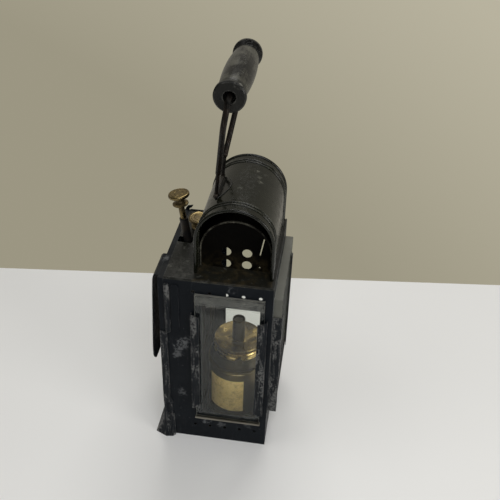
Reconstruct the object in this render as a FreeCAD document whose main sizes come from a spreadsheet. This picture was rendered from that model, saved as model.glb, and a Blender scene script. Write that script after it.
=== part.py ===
import FreeCAD, Part
import math
import os
import re

# A railway signal hand lamp of black-painted sheet metal with an oil burner inside.
# Frame: +Z up, +X to the side with the wide glass, -Y to the front pane; the origin is the
# centre of the flat underside that the lamp stands on. Lengths are in millimetres.

SIZES = {
    # casing
    "body_width": 100.0,
    "body_depth": 117.4,
    "body_height": 206.0,
    "metal": 0.8,
    "window_left": -15.0,
    "window_right": 38.8,
    "window_low": 38.0,
    "window_high": 179.5,
    "rear_window_left": -11.5,
    "side_window_half": 46.0,
    "vent_radius": 1.75,
    "vent_first": -23.0,
    "vent_pitch": 15.4,
    "vent_low": 18.3,
    "vent_high": 194.0,
    "tray_lip": 8.0,
    # hood and inner flue cap
    "hood_x": 11.7,
    "hood_front": -45.2,
    "hood_back": 57.2,
    "hood_radius": 35.0,
    "hood_spring": 240.5,
    "rim_radius": 1.6,
    "swage_radius": 1.1,
    "bead_inset": 10.0,
    "bead_gap": 4.0,
    "flue_radius": 32.2,
    "flue_spring": 224.1,
    "flue_front": -33.7,
    "flue_back": 46.0,
    "flue_metal": 0.6,
    "baffle_hole_radius": 4.5,
    # glass panes and their channels
    "pane_left": -21.2,
    "pane_right": 43.0,
    "pane_low": 33.0,
    "pane_high": 192.5,
    "pane_gap": 0.3,
    "pane_thick": 2.4,
    "channel_low": 46.0,
    "channel_high": 169.5,
    "side_pane_half": 52.0,
    "side_pane_thick": 7.6,
    "side_pane_low": 47.4,
    "side_pane_high": 190.0,
    # colour slides
    "slot_left": -50.1,
    "slot_right": -35.8,
    "slot_front": -0.4,
    "slot_back": 9.4,
    "green_slot_left": -38.6,
    "green_slot_right": -29.4,
    "green_slot_front": 21.6,
    "green_slot_back": 33.4,
    "red_x": -40.4,
    "green_x": -34.0,
    "red_rod_y": 4.4,
    "green_rod_y": 28.6,
    "slide_travel": 40.5,
    "slide_half": 32.0,
    "slide_tall": 48.0,
    "slide_thick": 1.6,
    "slide_low": 47.5,
    "rod_radius": 1.6,
    "rod_lean": 9.3,
    "rod_tip": 1.5,
    "green_rod_tip": -4.0,
    "sleeve_radius": 4.0,
    "sleeve_long": 25.0,
    "red_tube_long": 13.6,
    "green_tube_long": 17.2,
    "tube_radius": 2.9,
    "bead_radius": 7.6,
    "knob_radius": 10.0,
    # signal lens casing on the -X side
    "casing_thick": 5.2,
    "casing_low": 31.0,
    "lens_z": 112.0,
    "lens_opening": 20.0,
    "lens_radius": 23.0,
    "lens_bulge": 7.0,
    # bail handle
    "hinge_angle": 124.0,
    "sleeve_outer": 1.8,
    "sleeve_bore": 1.15,
    "sleeve_half": 15.0,
    "hinge_standoff": 0.4,
    "pin_radius": 1.1,
    "eye_radius": 2.1,
    "eye_width": 3.6,
    "link_lean": 5.0,
    "bail_lean": 9.43,
    "bail_reach": 107.1,
    "bail_knee": 22.1,
    "wire_radius": 2.5,
    "link_radius": 1.6,
    "grip_half": 50.0,
    "grip_flange": 13.0,
    "grip_belly": 13.2,
    "grip_neck": 10.2,
    "grip_bore": 2.56,
    "grip_recess": 5.2,
    # burner
    "drum_radius": 31.0,
    "drum_top": 70.0,
    "collar_top": 82.0,
    "ring_radius": 25.5,
    "ring_top": 90.0,
    "dish_radius": 24.5,
    "dish_top": 94.0,
    "tube_outer": 6.5,
    "tube_inner": 5.7,
    "tube_top": 118.0,
    "wick_travel": 8.0,
    "spindle_z": 86.0,
    "spindle_offset": 5.0,
    "wheel_radius": 2.0,
}

doc = FreeCAD.newDocument("signal_hand_lamp")
table = doc.addObject("Spreadsheet::Sheet", "Sizes")
for row, (word, number) in enumerate(SIZES.items(), start=1):
    table.set(f"A{row}", word)
    table.set(f"B{row}", str(number))
    table.setAlias(f"B{row}", word)
doc.recompute()

WORD = re.compile(r"\b(" + "|".join(sorted(SIZES, key=len, reverse=True)) + r")\b")
pieces = []


def size(word):
    """One driving dimension, read back from the sheet."""
    return float(getattr(table, word))


def formula(text):
    """A formula in plain words, turned into an expression on the sheet."""
    return WORD.sub(r"Sizes.\1", str(text))


def place(item, x="0", y="0", z="0"):
    item.setExpression(".Placement.Base.x", formula(x))
    item.setExpression(".Placement.Base.y", formula(y))
    item.setExpression(".Placement.Base.z", formula(z))


def box(x_span, y_span, z_span):
    """A box from its low and high formulas along X, Y and Z."""
    item = doc.addObject("Part::Box", "Box")
    for side, (low, high) in zip(("Length", "Width", "Height"), (x_span, y_span, z_span)):
        item.setExpression(side, formula(f"({high}) - ({low})"))
    place(item, x_span[0], y_span[0], z_span[0])
    return item


TURNS = {
    "x": FreeCAD.Rotation(FreeCAD.Vector(0, 1, 0), 90),
    "y": FreeCAD.Rotation(FreeCAD.Vector(1, 0, 0), -90),
    "z": FreeCAD.Rotation(),
}


def rod(axis, radius, low, high, x="0", y="0", z="0"):
    """A cylinder along one axis, from low to high; the other two formulas are its centre."""
    item = doc.addObject("Part::Cylinder", "Rod")
    item.setExpression("Radius", formula(radius))
    item.setExpression("Height", formula(f"({high}) - ({low})"))
    item.Placement.Rotation = TURNS[axis]
    place(item, *(low if name == axis else centre for name, centre in (("x", x), ("y", y), ("z", z))))
    return item


def fuse(*items):
    joined = doc.addObject("Part::MultiFuse", "Joined")
    joined.Shapes = list(items)
    joined.Refine = True
    return joined


def cut(base, *tools):
    result = doc.addObject("Part::Cut", "Cut")
    result.Base = base
    result.Tool = tools[0] if len(tools) == 1 else fuse(*tools)
    return result


def common(first, second):
    result = doc.addObject("Part::Common", "Shared")
    result.Base = first
    result.Tool = second
    return result


def solid(shape):
    """A shape worked out with Part's own functions, as an object of the document."""
    item = doc.addObject("Part::Feature", "Solid")
    item.Shape = shape
    return item


def keep(name, item):
    """Name a finished sub-part and put it on the list to write."""
    item.Label = name
    pieces.append(item)
    return item


def together(*items):
    """Separate solids of one node, kept as separate solids."""
    group = doc.addObject("Part::Compound", "Group")
    group.Links = list(items)
    return group


def vector(x, y, z):
    return FreeCAD.Vector(x, y, z)


def revolved(points, centre):
    """A turned solid: points are (radius, height) pairs round a vertical line at centre."""
    corners = [vector(radius, 0, height) for radius, height in points]
    face = Part.Face(Part.makePolygon(corners + corners[:1]))
    shape = face.revolve(vector(0, 0, 0), vector(0, 0, 1), 360)
    shape.translate(centre)
    return shape


def outline_prism(points, normal_axis, low, high):
    """A flat outline in the plane across normal_axis, thickened from low to high."""
    if normal_axis == "y":
        corners = [vector(a, low, b) for a, b in points]
        push = vector(0, high - low, 0)
    elif normal_axis == "x":
        corners = [vector(low, a, b) for a, b in points]
        push = vector(high - low, 0, 0)
    else:
        corners = [vector(a, b, low) for a, b in points]
        push = vector(0, 0, high - low)
    return Part.Face(Part.makePolygon(corners + corners[:1])).extrude(push)


HALF_X = "body_width / 2"
HALF_Y = "body_depth / 2"


# ---------------------------------------------------------------- casing

def casing_shell():
    """Four walls folded from one sheet, with a window in each and two rows of vent holes."""
    walls = cut(
        box((f"-{HALF_X}", HALF_X), (f"-{HALF_Y}", HALF_Y), ("metal", "body_height - metal")),
        box((f"metal - {HALF_X}", f"{HALF_X} - metal"), (f"metal - {HALF_Y}", f"{HALF_Y} - metal"),
            ("0", "body_height")),
    )
    openings = [
        box(("window_left", "window_right"), (f"-{HALF_Y} - 1", f"2 - {HALF_Y}"),
            ("window_low", "window_high")),
        box(("rear_window_left", "window_right"), (f"{HALF_Y} - 2", f"{HALF_Y} + 1"),
            ("window_low", "window_high")),
        box((f"{HALF_X} - 2", f"{HALF_X} + 1"), ("-side_window_half", "side_window_half"),
            ("window_low", "window_high")),
        rod("x", "lens_opening", f"-{HALF_X} - 1", f"2 - {HALF_X}", z="lens_z"),
        box(("slot_left", "slot_left + 2"), ("slot_front", "slot_back"),
            ("body_height - 10", "body_height")),
    ]
    for row_height in ("vent_low", "vent_high"):
        for place_in_row in range(5):
            openings.append(rod("y", "vent_radius", f"-{HALF_Y} - 1", f"{HALF_Y} + 1",
                                x=f"vent_first + {place_in_row} * vent_pitch", z=row_height))
    keep("casing_shell", cut(walls, *openings))


def base_tray():
    """The flat bottom with a turned-up lip that fits inside the walls."""
    lip_x = f"{HALF_X} - metal"
    lip_y = f"{HALF_Y} - metal"
    lip = cut(
        box((f"-({lip_x})", lip_x), (f"-({lip_y})", lip_y), ("metal", "metal + tray_lip")),
        box((f"metal - ({lip_x})", f"{lip_x} - metal"), (f"metal - ({lip_y})", f"{lip_y} - metal"),
            ("0", "tray_lip + 5")),
    )
    plate = box((f"-{HALF_X}", HALF_X), (f"-{HALF_Y}", HALF_Y), ("0", "metal"))
    keep("base_tray", fuse(plate, lip))


def roof_plate():
    """The flat top with rolled front and back edges, a flue opening and a slot for each rod."""
    under = "body_height - metal"
    through = (f"{under} - 3", "body_height + 3")
    plate = box((f"-{HALF_X}", HALF_X), (f"-{HALF_Y}", HALF_Y), (under, "body_height"))
    beads = [rod("x", "1.0", f"0.6 - {HALF_X}", f"{HALF_X} - 0.6", y=edge, z="body_height + 0.3")
             for edge in (f"1.1 - {HALF_Y}", f"{HALF_Y} - 1.1")]
    flue = box(("hood_x - 28", "hood_x + 28"), ("flue_front + 2", "flue_back - 2"), through)
    slot = box(("slot_left", "slot_right"), ("slot_front", "slot_back"), through)
    green_slot = box(("green_slot_left", "green_slot_right"), ("green_slot_front", "green_slot_back"),
                     through)
    hood_foot = box(("hood_x - hood_radius - 2", "hood_x + hood_radius + 2"),
                    (f"{HALF_Y} - 4", f"{HALF_Y} + 1"), ("body_height", "body_height + 3"))
    keep("roof_plate", cut(fuse(plate, *beads), flue, slot, green_slot, hood_foot))


# ---------------------------------------------------------------- hood and flue

def arch(radius, spring, front, back, foot="body_height"):
    """A solid barrel vault on straight walls, along Y."""
    barrel = rod("y", radius, front, back, x="hood_x", z=spring)
    walls = box((f"hood_x - ({radius})", f"hood_x + ({radius})"), (front, back), (foot, spring))
    return fuse(barrel, walls)


def above_roof(item):
    """Cut away what a whole cylinder leaves below the roof."""
    return common(item, box(("-200", "200"), ("-200", "200"), ("body_height", "400")))


def arch_band(radius, thick, spring, front, back):
    outer = arch(f"{radius} + {thick}", spring, front, back)
    inner = arch(radius, spring, f"{front} - 1", f"{back} + 1", "body_height - 1")
    return above_roof(cut(outer, inner))


def arch_path(reach, y, foot):
    """A wire that follows the vault's outline across the lamp at one y."""
    centre_x = size("hood_x")
    spring = size("hood_spring")
    left = vector(centre_x - reach, y, foot)
    left_spring = vector(centre_x - reach, y, spring)
    crown = vector(centre_x, y, spring + reach)
    right_spring = vector(centre_x + reach, y, spring)
    right = vector(centre_x + reach, y, foot)
    vault = Part.Arc(left_spring, crown, right_spring).toShape()
    return Part.Wire([Part.makeLine(left, left_spring), vault, Part.makeLine(right_spring, right)])


def arch_bead(reach, radius, y):
    """A round bead that follows the vault's outline, from roof to roof."""
    path = arch_path(reach, y, size("body_height"))
    section = Part.Wire(Part.makeCircle(radius, path.Edges[0].Vertexes[0].Point, vector(0, 0, 1)))
    return path.makePipeShell([section], True, True)


def hood_sheet():
    """The hood's own sheet as a plain shape."""
    front = size("hood_front")
    length = size("hood_back") - front
    foot = size("body_height")
    centre_x = size("hood_x")
    spring = size("hood_spring")
    shapes = []
    for reach in (size("hood_radius"), size("hood_radius") - size("metal")):
        barrel = Part.makeCylinder(reach, length, vector(centre_x, front, spring), vector(0, 1, 0))
        walls = Part.makeBox(2 * reach, length, spring - foot, vector(centre_x - reach, front, foot))
        upper = Part.makeBox(4 * reach, length, 2 * reach, vector(centre_x - 2 * reach, front, foot))
        shapes.append(barrel.fuse(walls).common(upper))
    return shapes[0].cut(shapes[1])


def hood_shell():
    """The outer vault with a pair of rounded swages near each end."""
    skin = hood_sheet()
    front = size("hood_front") + size("bead_inset")
    back = size("hood_back") - size("bead_inset")
    sunk = size("hood_radius") - size("swage_radius") / 5
    swages = [arch_bead(sunk, size("swage_radius"), y)
              for y in (front, front + size("bead_gap"), back - size("bead_gap"), back)]
    keep("hood_shell", solid(skin.fuse(swages).removeSplitter()))


def hood_rims():
    """A wired edge on each open end of the hood."""
    reach = size("hood_radius") - size("metal") / 2
    skin = hood_sheet()
    rims = [solid(arch_bead(reach, size("rim_radius"), y).cut(skin))
            for y in (size("hood_front"), size("hood_back"))]
    keep("hood_rims", together(*rims))


def flue_cap():
    """The inner vault over the flue opening, with a perforated plate closing each end."""
    skin = arch_band("flue_radius - flue_metal", "flue_metal", "flue_spring", "flue_front", "flue_back")
    front_rim = arch_band("flue_radius - 0.1", "0.8", "flue_spring", "flue_front", "flue_front + 1.3")
    keep("flue_cap", fuse(skin, front_rim))
    across = 9.5
    up = 6.5
    holes_x = "hood_x + 0.8"
    holes_z = "217.7"
    for name, low in (("front_baffle", "flue_front"), ("rear_baffle", "flue_back - flue_metal")):
        high = f"{low} + flue_metal"
        plate = above_roof(arch("flue_radius - flue_metal", "flue_spring", low, high))
        openings = [rod("y", "baffle_hole_radius", f"{low} - 1", f"{high} + 1",
                        x=f"{holes_x} + ({side * across})", z=f"{holes_z} + ({row * up})")
                    for side in (-1, 1) for row in (-1, 1)]
        if name == "front_baffle":
            front = size("flue_front")
            sprung_seam = outline_prism([(36.3, 241.6), (37.3, 241.3), (34.1, 223.4), (33.2, 223.7)],
                                        "y", front - 1, front + 2)
            pinhole = rod("y", "0.7", f"{low} - 1", f"{high} + 1", x="33.8", z="210.2")
            openings += [solid(sprung_seam), pinhole]
        keep(name, cut(plate, *openings))


# ---------------------------------------------------------------- bail handle

def hinge_centre():
    """The bail hinge's axis, touching the hood's left flank."""
    reach = size("hood_radius") + size("metal") + size("hinge_standoff") + size("sleeve_outer")
    angle = math.radians(size("hinge_angle"))
    return (size("hood_x") + reach * math.cos(angle), size("hood_spring") + reach * math.sin(angle))


def bail_point(along, up):
    """A point of the bail: along the hinge, and up from it; the links lean less than the arms."""
    hinge_x, hinge_z = hinge_centre()
    link = math.radians(size("link_lean"))
    arm = math.radians(size("bail_lean"))
    low = min(up, size("bail_knee"))
    high = up - low
    return vector(hinge_x + low * math.sin(link) + high * math.sin(arm), along,
                  hinge_z + low * math.cos(link) + high * math.cos(arm))


def bail_patch():
    """A curved D-shaped plate soldered over the hood's flank, with its straight side by the hinge."""
    axis = vector(size("hood_x"), 0, size("hood_spring"))
    radius = size("hood_radius")
    half = 19.0
    width = 10.0
    beyond_hinge = 2.5
    bow = (half ** 2 + width ** 2) / (2 * width)
    shell = Part.makeCylinder(radius + size("metal"), 3 * half, axis - vector(0, 1.5 * half, 0),
                              vector(0, 1, 0))
    hollow = Part.makeCylinder(radius, 4 * half, axis - vector(0, 2 * half, 0), vector(0, 1, 0))
    blank = Part.makeCylinder(bow, 60, vector(width - bow, 0, 0), vector(0, 0, 1))
    blank = blank.common(Part.makeBox(width + beyond_hinge, 2 * half, 60, vector(-beyond_hinge, -half, 0)))
    tilt = FreeCAD.Rotation(vector(0, 1, 0), 90 - size("hinge_angle"))
    blank.Placement = FreeCAD.Placement(axis, tilt)
    keep("bail_patch", solid(shell.cut(hollow).common(blank)))


def hinge_sleeve():
    """A tube rolled for the hinge pin, on a foot soldered along the patch."""
    hinge_x, hinge_z = hinge_centre()
    half = size("sleeve_half")
    outer = size("sleeve_outer")
    over = 1.0
    centre = vector(hinge_x, -half, hinge_z)
    tube = Part.makeCylinder(outer, 2 * half, centre, vector(0, 1, 0))
    deep = outer + size("hinge_standoff") + 0.5
    foot = Part.makeBox(2 * outer, 2 * half, deep - 0.4 * outer, vector(-outer, -half, -deep))
    foot.Placement = FreeCAD.Placement(vector(hinge_x, 0, hinge_z),
                                       FreeCAD.Rotation(vector(0, 1, 0), 90 - size("hinge_angle")))
    drum = Part.makeCylinder(size("hood_radius") + size("metal"), 2 * (half + over),
                             vector(size("hood_x"), -half - over, size("hood_spring")), vector(0, 1, 0))
    bore = Part.makeCylinder(size("sleeve_bore"), 2 * (half + over), centre - vector(0, over, 0),
                             vector(0, 1, 0))
    keep("hinge_sleeve", solid(tube.fuse(foot).cut(drum).cut(bore).removeSplitter()))


def hinge_pin():
    """The pin through the sleeve and both eyes, riveted over at its ends."""
    hinge_x, hinge_z = hinge_centre()
    end = size("sleeve_half") + size("eye_width") + 0.4
    head = size("eye_radius")
    rim = 1.2
    dome = 1.3
    pin = Part.makeCylinder(size("pin_radius"), 2 * end, vector(hinge_x, -end, hinge_z), vector(0, 1, 0))
    profile = [(0, 0), (head, 0), (head, rim), (0.75 * head, rim + 0.7 * dome), (0, rim + dome)]
    for side in (-1, 1):
        button = revolved(profile, vector(0, 0, 0))
        button.Placement = FreeCAD.Placement(vector(hinge_x, side * end, hinge_z),
                                             FreeCAD.Rotation(vector(0, 0, 1), vector(0, side, 0)))
        pin = pin.fuse(button)
    keep("hinge_pin", solid(pin.removeSplitter()))


def bent_wire(points, radii, radius):
    """A round wire along straight runs joined by tangent arcs."""
    edges = []
    start = points[0]
    for corner, following, bend in zip(points[1:-1], points[2:], radii):
        into = (corner - start).normalize()
        away = (following - corner).normalize()
        turn = into.getAngle(away)
        back = bend * math.tan(turn / 2)
        first = corner - into * back
        last = corner + away * back
        middle_way = (away - into).normalize()
        centre = corner + middle_way * (bend / math.cos(turn / 2))
        edges.append(Part.makeLine(start, first))
        edges.append(Part.Arc(first, centre - middle_way * bend, last).toShape())
        start = last
    edges.append(Part.makeLine(start, points[-1]))
    path = Part.Wire(edges)
    section = Part.Wire(Part.makeCircle(radius, points[0], (points[1] - points[0])))
    return path.makePipeShell([section], True, True)


def link_side():
    """How far each link stands from the lamp's middle plane."""
    return size("sleeve_half") + size("eye_width") / 2 + 0.2


def bail_wire():
    """Thick wire through the grip, with an arm to each side that draws in to the hinge links."""
    reach = size("bail_reach")
    out = size("grip_half") + 2.9
    drop = 24.0
    wide_bend = 26.0
    tight_bend = 4.5
    knee = size("bail_knee")
    inner = link_side()
    points = [bail_point(-inner, knee), bail_point(-out, reach - drop), bail_point(-out, reach),
              bail_point(out, reach), bail_point(out, reach - drop), bail_point(inner, knee)]
    wire = bent_wire(points, [wide_bend, tight_bend, tight_bend, wide_bend], size("wire_radius"))
    ends = [Part.makeSphere(size("wire_radius"), bail_point(side * inner, knee)) for side in (-1, 1)]
    return keep("bail_wire", solid(wire.fuse(ends).removeSplitter()))


def bail_links(wire):
    """Two thin legs from the wire's ends to the eyes on the hinge pin."""
    hinge_x, hinge_z = hinge_centre()
    inner = link_side()
    links = []
    for side in (-1, 1):
        foot = bail_point(side * inner, 0)
        wide = size("eye_width")
        along = vector(0, 1, 0)
        leg = Part.makeCylinder(size("link_radius"), size("bail_knee"), foot,
                                bail_point(0, 1) - bail_point(0, 0))
        eye = Part.makeCylinder(size("eye_radius"), wide,
                                vector(hinge_x, side * inner - wide / 2, hinge_z), along)
        hole = Part.makeCylinder(size("pin_radius"), 2 * wide,
                                 vector(hinge_x, side * inner - wide, hinge_z), along)
        links.append(solid(leg.fuse(eye).cut(hole).cut(wire.Shape).removeSplitter()))
    keep("bail_links", together(*links))


def bail_grip():
    """The turned wooden grip, a barrel between two flanges, bored for the wire."""
    half = size("grip_half")
    flange = size("grip_flange")
    belly = size("grip_belly")
    neck = size("grip_neck")
    bore = size("grip_bore")
    recess = size("grip_recess")
    outline = [(bore, -half + 8), (recess, -half + 8), (recess, -half), (flange - 1.2, -half),
               (flange, -half + 1.2), (flange, -half + 4.2), (flange - 0.9, -half + 5.4), (neck, -half + 8)]
    steps = 14
    for step in range(1, steps):
        along = -half + 8 + (2 * half - 16) * step / steps
        outline.append((neck + (belly - neck) * math.sin(math.pi * step / steps) ** 0.75, along))
    outline += [(radius, -along) for radius, along in reversed(outline[:8])]
    grip = revolved(outline, vector(0, 0, 0))
    grip.rotate(vector(0, 0, 0), vector(1, 0, 0), 90)
    grip.translate(bail_point(0, size("bail_reach")))
    keep("bail_grip", solid(grip))


# ---------------------------------------------------------------- front, rear and side glass

def pane_and_channels(name, facing):
    """A clear pane held by two folded channels on a ledge; facing is -1 in front and 1 behind."""
    face = facing * size("body_depth") / 2
    gap = size("pane_gap")
    thick = size("pane_thick")
    sheet = 0.7
    low = size("channel_low")
    high = size("channel_high")
    outer = gap + thick + 0.3
    front = outer + sheet

    def span(near, far):
        return sorted((face + facing * near, face + facing * far))

    def words(near, far):
        return tuple(f"{value:.6g}" for value in span(near, far))

    keep(f"{name}_pane", box(("pane_left", "pane_right"), words(gap, gap + thick),
                             ("pane_low", "pane_high")))
    lip_low, lip_high = span(outer, front)
    web_low, web_high = span(0, front)
    fold_low, fold_high = span(0, sheet)
    left = size("pane_left")
    right = size("pane_right")
    for side, outer_x, inner_x, fold_wide in (("left", left - 4.0, left + 4.0, 3.7),
                                              ("right", right + 3.1, right - 5.9, 2.6)):
        inward = 1 if inner_x > outer_x else -1
        lip = outline_prism([(outer_x, low), (inner_x, low + 1.5), (inner_x, high - 3.5), (outer_x, high)],
                            "y", lip_low, lip_high)
        web = Part.makeBox(sheet, web_high - web_low, high - low,
                           vector(min(outer_x, outer_x + inward * sheet), web_low, low))
        fold = Part.makeBox(fold_wide, fold_high - fold_low, high - low - 6,
                            vector(min(outer_x, outer_x + inward * fold_wide), fold_low, low + 3))
        keep(f"{name}_{side}_channel", solid(lip.fuse([web, fold]).removeSplitter()))
    keep(f"{name}_ledge", box(("pane_left - 1", "pane_right + 1"), words(0, front),
                              ("pane_low - 1.4", "pane_low")))


def side_glass():
    """The wide thick glass of the +X side, its two channels and its ledge."""
    gap = 0.4
    sheet = 0.7
    lip_wide = 6.2
    flange_wide = 4.5
    face = size("body_width") / 2
    keep("side_pane", box((f"{HALF_X} + {gap}", f"{HALF_X} + {gap} + side_pane_thick"),
                          ("-side_pane_half", "side_pane_half"), ("side_pane_low", "side_pane_high")))
    outer = face + gap + size("side_pane_thick") + 0.4
    half = size("side_pane_half") + 0.4
    low = size("channel_low")
    height = size("channel_high") - low
    for name, side in (("side_front_channel", -1), ("side_rear_channel", 1)):
        far = side * (half + sheet)

        def strip(x_low, x_high, wide):
            near = far - side * wide
            return Part.makeBox(x_high - x_low, wide, height, vector(x_low, min(near, far), low))

        web = strip(face, outer + sheet, sheet)
        lip = strip(outer, outer + sheet, lip_wide)
        flange = Part.makeBox(sheet, flange_wide, height,
                              vector(face, half if side > 0 else -half - flange_wide, low))
        keep(name, solid(web.fuse([lip, flange]).removeSplitter()))
    keep("side_ledge", box((HALF_X, f"{HALF_X} + {gap} + side_pane_thick"),
                           ("-side_pane_half", "side_pane_half"), ("side_pane_low - 1.4", "side_pane_low")))


# ---------------------------------------------------------------- colour slides

def partition():
    """The inner wall between the flame and the colour slides, with a window in it."""
    wall_x = "-24.6"
    tray_top = "metal + tray_lip"
    wall = box((wall_x, f"{wall_x} + metal"), (f"2 * metal - {HALF_Y}", f"{HALF_Y} - 2 * metal"),
               ("metal", "body_height - metal"))
    window = box((f"{wall_x} - 2", f"{wall_x} + 3"), ("-32", "32"), ("lens_z - 32", "lens_z + 32"))
    ribs = [box((f"{wall_x} + metal", f"{wall_x} + metal + 2"), (f"{y} - 1", f"{y} + 1"),
                (tray_top, "window_high"))
            for y in ("-44", "-37", "40")]
    keep("partition", fuse(cut(wall, window), *ribs))


def slide_guides():
    """A comb of three fins at each end that keeps the two slides upright and apart."""
    red = size("red_x")
    green = size("green_x")
    middle = (red + green) / 2
    fin = 1.2
    beyond = 3.0
    low = 12.0
    tall = 150.0
    end = size("slide_half") + 0.4
    inside = size("body_depth") / 2 - size("metal")
    for name, side in (("slide_guide_front", -1), ("slide_guide_rear", 1)):
        fin_low = end - 4.4 if side > 0 else -end - 1.0
        fins = [Part.makeBox(fin, 5.4, tall, vector(x - fin / 2, fin_low, low))
                for x in (red - beyond, middle, green + beyond)]
        back = Part.makeBox(green - red + 2 * beyond + fin, 1.0, tall,
                            vector(red - beyond - fin / 2, end if side > 0 else -end - 1.0, low))
        arm = Part.makeBox(1.0, inside - end - 1.0, tall - 30,
                           vector(middle - 0.5, end + 1.0 if side > 0 else -inside, low + 8))
        keep(name, solid(fins[0].fuse(fins[1:] + [back, arm]).removeSplitter()))


def turned_knob():
    """The outline of a pull knob: a thin collar, a waist and a flat disc with turned rings."""
    bead = size("bead_radius")
    disc = size("knob_radius")
    return [(0, 0), (bead - 2.4, 0), (bead - 0.7, 0.7), (bead, 1.6), (bead - 0.1, 2.6), (bead - 1.4, 3.5),
            (bead - 3.2, 4.3), (bead - 3.7, 5.6), (bead - 3.5, 6.8), (bead - 2.4, 7.9), (disc - 2.4, 8.9),
            (disc - 0.6, 9.6), (disc, 10.4), (disc, 11.9), (disc - 0.4, 12.7), (disc - 1.1, 13.0),
            (disc - 1.5, 12.6), (disc - 2.4, 12.5), (disc - 2.8, 12.9), (disc - 5.2, 12.9),
            (disc - 5.6, 12.6), (disc - 6.0, 12.9), (0, 13.0)]


def colour_slide(name, slide_x, rod_y, raised, lean, tip, tube_long):
    """A framed colour glass with its pull rod, collar, brass tube and knob, lifted by raised.
    lean turns the upper rod towards -X and tip turns it away from the front, in degrees."""
    half = size("slide_half")
    tall = size("slide_tall")
    low = size("slide_low") + raised
    thick = size("slide_thick")
    border = 3.5
    pane = 0.9
    frame = Part.makeBox(thick, 2 * half, tall, vector(slide_x - thick / 2, -half, low))
    hole = Part.makeBox(thick + 2, 2 * (half - border), tall - 2 * border,
                        vector(slide_x - thick / 2 - 1, border - half, low + border))
    keep(f"{name}_slide_frame", solid(frame.cut(hole)))
    glass = Part.makeBox(pane, 2 * (half - border), tall - 2 * border,
                         vector(slide_x - pane / 2, border - half, low + border))
    keep(f"{name}_glass", solid(glass))

    bend = vector(slide_x, rod_y, size("body_height") - 1.5 - size("slide_travel") + raised)
    lower = Part.makeCylinder(size("rod_radius"), bend.z - low - tall, vector(slide_x, rod_y, low + tall),
                              vector(0, 0, 1))
    way = vector(-math.tan(math.radians(lean)), math.tan(math.radians(tip)), 1).normalize()
    elbow = Part.makeSphere(size("rod_radius"), bend)
    sleeve_long = size("sleeve_long")
    collar = Part.makeCylinder(size("sleeve_radius"), sleeve_long, bend + way, way)
    keep(f"{name}_rod", solid(lower.fuse([elbow, collar]).removeSplitter()))
    tube_foot = bend + way * (sleeve_long + 1.0)
    keep(f"{name}_rod_tube", solid(Part.makeCylinder(size("tube_radius"), tube_long, tube_foot, way)))
    knob = revolved(turned_knob(), vector(0, 0, 0))
    knob.Placement = FreeCAD.Placement(tube_foot + way * tube_long, FreeCAD.Rotation(vector(0, 0, 1), way))
    keep(f"{name}_knob", solid(knob))


# ---------------------------------------------------------------- left casing, lens and outside fittings

def signal_casing():
    """The shallow casing on the -X wall that carries the signal lens."""
    outer = f"-{HALF_X} - casing_thick"
    skin = cut(
        box((outer, f"-{HALF_X}"), (f"-{HALF_Y}", HALF_Y), ("casing_low", "body_height")),
        box((f"{outer} + metal", f"1 - {HALF_X}"), (f"metal - {HALF_Y}", f"{HALF_Y} - metal"),
            ("casing_low + metal", "body_height - metal")),
    )
    opening = rod("x", "lens_opening", f"{outer} - 1", f"{outer} + 3", z="lens_z")
    keep("signal_casing", cut(skin, opening))


def signal_lens():
    """A flat-backed round lens behind the casing's opening, in a turned ring."""
    outer = -size("body_width") / 2 - size("casing_thick")
    opening = size("lens_opening")
    radius = size("lens_radius")
    back_x = -size("body_width") / 2 - 0.4
    seat_x = outer + size("metal")
    flange = Part.makeCylinder(radius, back_x - seat_x, vector(seat_x, 0, size("lens_z")), vector(1, 0, 0))
    rim = opening - 2.2
    bulge = size("lens_bulge")
    ball = (rim ** 2 + bulge ** 2) / (2 * bulge)
    dome = Part.makeSphere(ball, vector(seat_x - bulge + ball, 0, size("lens_z")))
    dome = dome.common(Part.makeBox(bulge + 1, 80, 80, vector(seat_x - bulge - 1, -40, size("lens_z") - 40)))
    keep("signal_lens", solid(flange.fuse(dome).removeSplitter()))

    outline = [(opening - 1.6, seat_x - outer), (opening, seat_x - outer), (opening, 0), (opening + 3.4, 0),
               (opening + 2.8, -1.3), (opening + 1.2, -2.0), (opening - 0.6, -1.6), (opening - 1.6, -0.4)]
    ring = revolved(outline, vector(0, 0, 0))
    ring.rotate(vector(0, 0, 0), vector(0, 1, 0), 90)
    ring.translate(vector(outer, 0, size("lens_z")))
    keep("lens_ring", solid(ring))


def belt_hook():
    """A broad spring blade bent over from the roof edge, standing off the casing."""
    outer = -size("body_width") / 2 - size("casing_thick")
    top = size("body_height")
    front = -size("body_depth") / 2 + 4.0
    wide = 33.0
    long = 119.0
    deep = 30.0
    profile = [(0, 0), (-3.0, 0), (-4.8, -1.6), (-5.8, -6), (-6.6, -20), (-8.2, -60), (-9.3, -88), (-9.3, -99),
               (-8.3, -107.5), (-7.4, -107.2), (-8.2, -99), (-8.3, -88), (-7.2, -60), (-5.6, -20), (-4.8, -6.4),
               (-4.0, -2.6), (-2.6, -1.0), (-1.0, -1.0), (-1.0, -16), (0, -16)]
    blade = outline_prism([(outer + x, top + z) for x, z in profile], "y", front, front + wide)
    outline = Part.makeBox(deep, wide, long, vector(outer - deep + 5, front, top - long + 11))
    corners = [edge for edge in outline.Edges if abs(edge.BoundBox.XLength - deep) < 0.01
               and edge.BoundBox.ZMin < top - long + 20]
    keep("belt_hook", solid(blade.common(outline.makeFillet(9, corners)).Solids[0]))


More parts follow.
